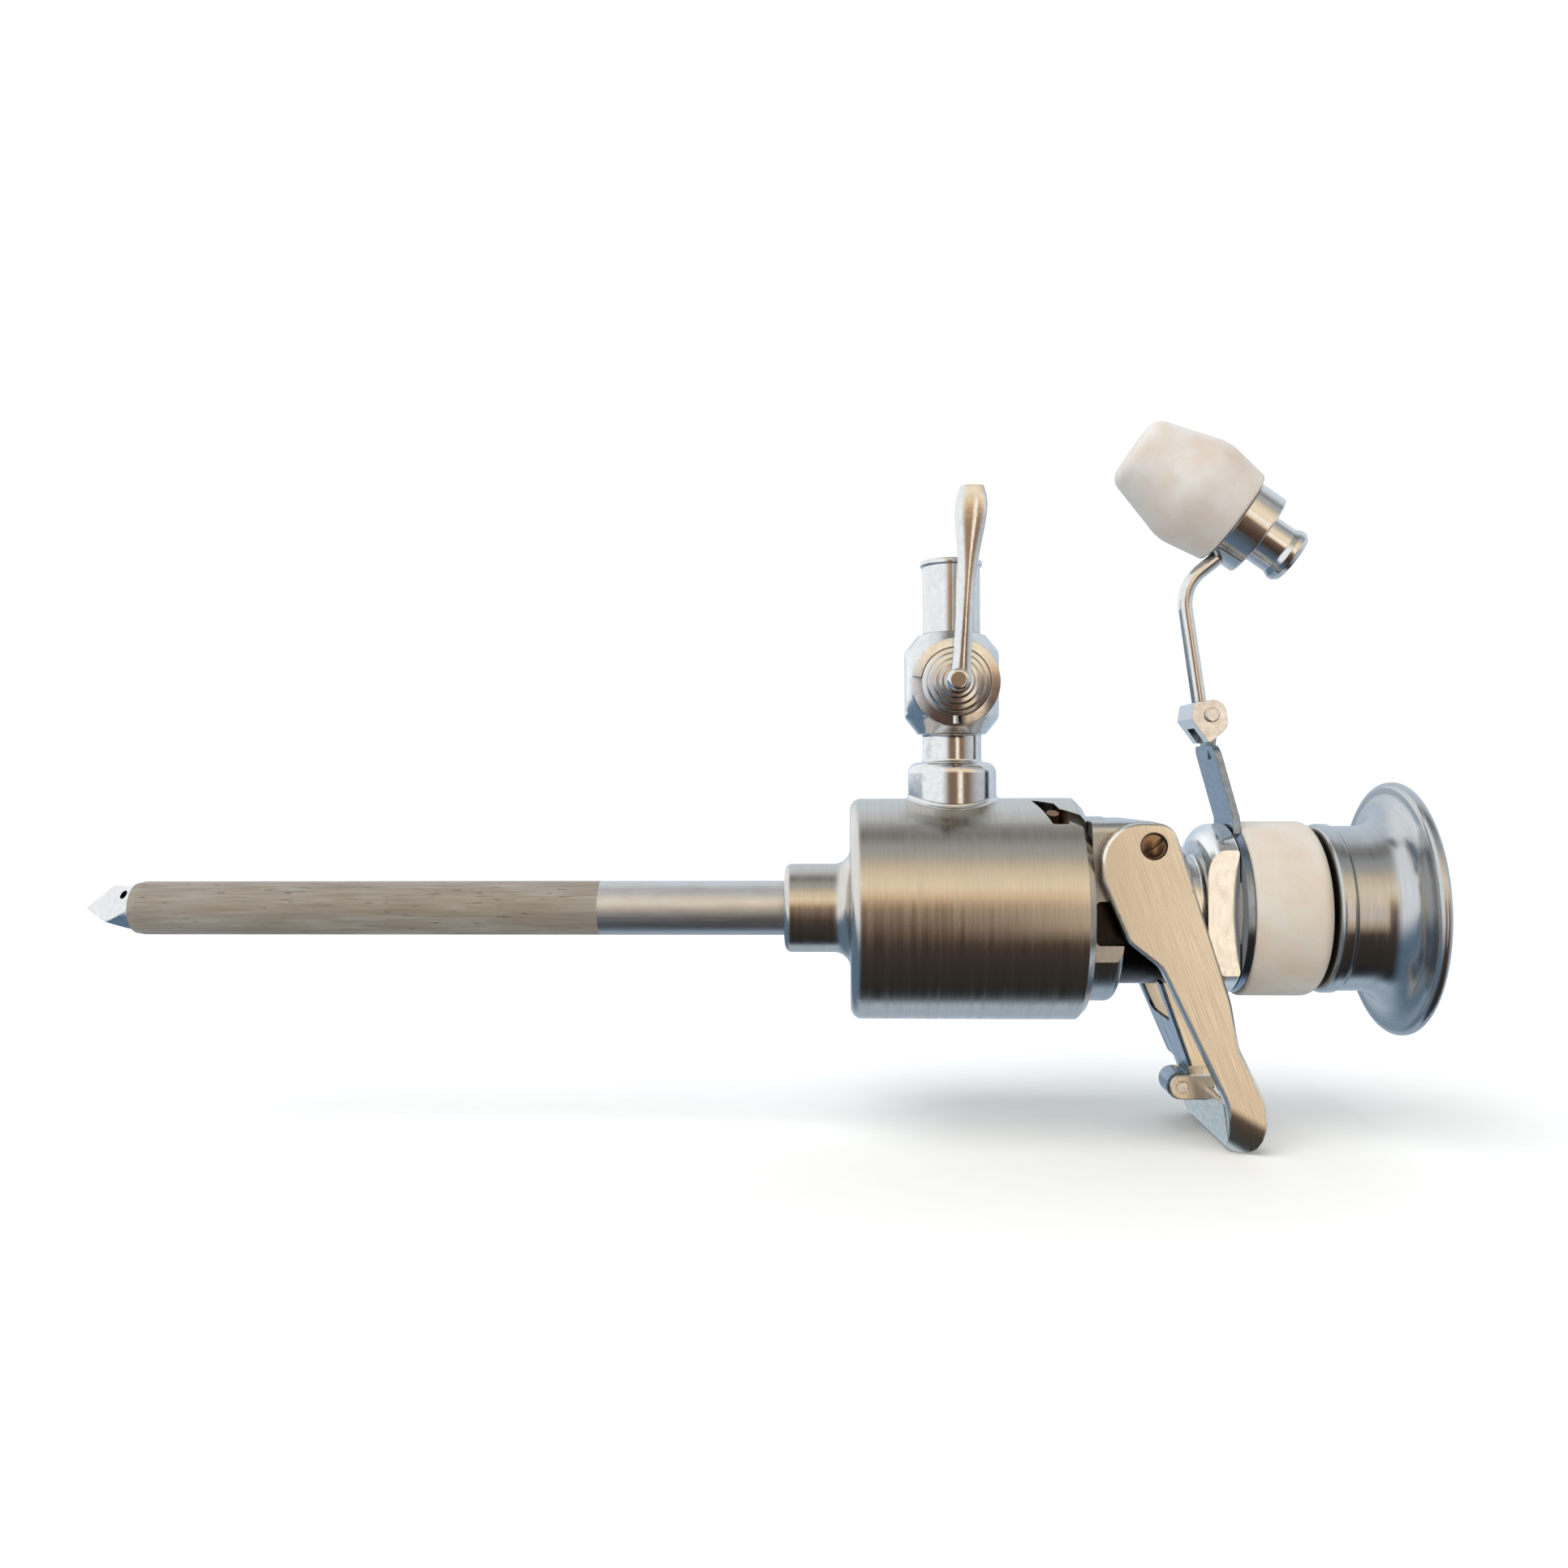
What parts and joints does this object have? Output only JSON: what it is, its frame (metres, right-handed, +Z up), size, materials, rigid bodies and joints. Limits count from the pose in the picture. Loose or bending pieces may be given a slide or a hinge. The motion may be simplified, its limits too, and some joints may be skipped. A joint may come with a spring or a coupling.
{
  "type": "laparoscopic trocar",
  "caption": "Insulated cannula with valve drum, stopcock, flap valve lever and swing-in reducer, with its pyramidal obturator and trumpet-shaped push head",
  "frame": {"origin": "on the cannula's axis, at the front face of the housing's nose collar", "axes": "+X along the cannula towards the hand, +Z up along the stopcock, -Y towards the camera in the picture"},
  "size_m": [0.195, 0.0364, 0.1034],
  "materials": {
    "tube_steel": "polished stainless steel",
    "sleeve_polymer": "matt insulating polymer sleeve",
    "housing_steel": "stainless steel, brushed round the drum",
    "polished_steel": "polished stainless steel",
    "satin_steel": "satin stainless steel",
    "spring_steel": "bright spring steel",
    "core_steel": "satin stainless steel",
    "bronze_pin": "hard bronze pin",
    "seal_rubber": "moulded silicone rubber",
    "lever_steel": "stainless steel, belt-ground flats",
    "screw_steel": "turned stainless steel",
    "leaf_steel": "blued spring steel",
    "ivory_silicone": "ivory silicone rubber",
    "reducer_steel": "polished stainless steel",
    "tip_steel": "ground and polished stainless steel",
    "head_steel": "mirror-polished stainless steel"
  },
  "bodies": {
    "cannula": {"cannula_tube": "tube_steel", "insulating_sleeve": "sleeve_polymer", "valve_housing": "housing_steel", "stopcock_body": "polished_steel", "luer_nozzle": "polished_steel"},
    "tap": {"stopcock_plug": "satin_steel", "tap_stop_pin": "polished_steel", "plug_spring_washer": "spring_steel", "plug_nut": "satin_steel", "tap_lever": "polished_steel"},
    "bayonet_turn": {"core_seal_ring": "seal_rubber"},
    "valve_unit": {"valve_core": "core_steel", "bayonet_pins": "bronze_pin", "valve_neck": "polished_steel", "neck_gasket": "seal_rubber", "sealing_cap": "ivory_silicone", "seal_washer": "seal_rubber", "flap_spring": "spring_steel"},
    "lever": {"yoke_lever": "lever_steel", "pivot_screws": "screw_steel", "yoke_cross_pin": "satin_steel"},
    "leaf": {"leaf_spring": "leaf_steel"},
    "flap": {"valve_flap": "satin_steel", "flap_seal": "seal_rubber", "flap_shaft": "satin_steel"},
    "arm": {"clip_arm": "polished_steel", "arm_hinge_pin": "satin_steel"},
    "reducer": {"hinge_fork": "satin_steel", "reducer_rod": "polished_steel", "reducer_body": "reducer_steel", "reducer_cap": "ivory_silicone", "reducer_seal": "seal_rubber"},
    "obturator": {"obturator_shaft": "satin_steel", "obturator_tip": "tip_steel", "obturator_head": "head_steel", "head_screw": "screw_steel"}
  },
  "joints": [
    {"name": "tap_turn", "type": "hinge", "parent": "cannula", "child": "tap", "pos_m": [0.0246, 0, 0.0326], "axis": [0, 1, 0], "range_deg": [0, 90]},
    {"name": "bayonet_slide", "type": "slide", "parent": "cannula", "child": "bayonet_turn", "axis": [1, 0, 0], "range_m": [0, 0.0046]},
    {"name": "bayonet_turn", "type": "hinge", "parent": "bayonet_turn", "child": "valve_unit", "pos_m": [0.0382, 0, 0], "axis": [1, 0, 0], "range_deg": [0, 12]},
    {"name": "lever_press", "type": "hinge", "parent": "valve_unit", "child": "lever", "pos_m": [0.05076, 0, 0.0096], "axis": [0, 1, 0], "range_deg": [0, 16], "stiffness_Nm_per_rad": 0.3, "springref_deg": -5.73},
    {"name": "leaf_flex", "type": "hinge", "parent": "lever", "child": "leaf", "pos_m": [0.057, 0, -0.0254], "axis": [0, 1, 0], "range_deg": [0, 25]},
    {"name": "flap_swing", "type": "hinge", "parent": "valve_unit", "child": "flap", "pos_m": [0.05076, 0, 0.0096], "axis": [0, 1, 0], "range_deg": [0, 10]},
    {"name": "arm_swivel", "type": "hinge", "parent": "valve_unit", "child": "arm", "pos_m": [0.0644, 0, 0], "axis": [1, 0, 0], "range_deg": [-25, 25]},
    {"name": "reducer_flip", "type": "hinge", "parent": "arm", "child": "reducer", "pos_m": [0.0612, 0, 0.0279], "axis": [0, 1, 0], "range_deg": [-12, 8]},
    {"name": "obturator_slide", "type": "slide", "parent": "valve_unit", "child": "obturator", "axis": [1, 0, 0], "range_m": [0, 0.19]}
  ],
  "couplings": [
    {"joint": "bayonet_turn", "follows": "bayonet_slide", "rad_per_m": 45},
    {"joint": "leaf_flex", "follows": "lever_press", "ratio": 1.5},
    {"joint": "flap_swing", "follows": "lever_press", "ratio": 0.6}
  ]
}
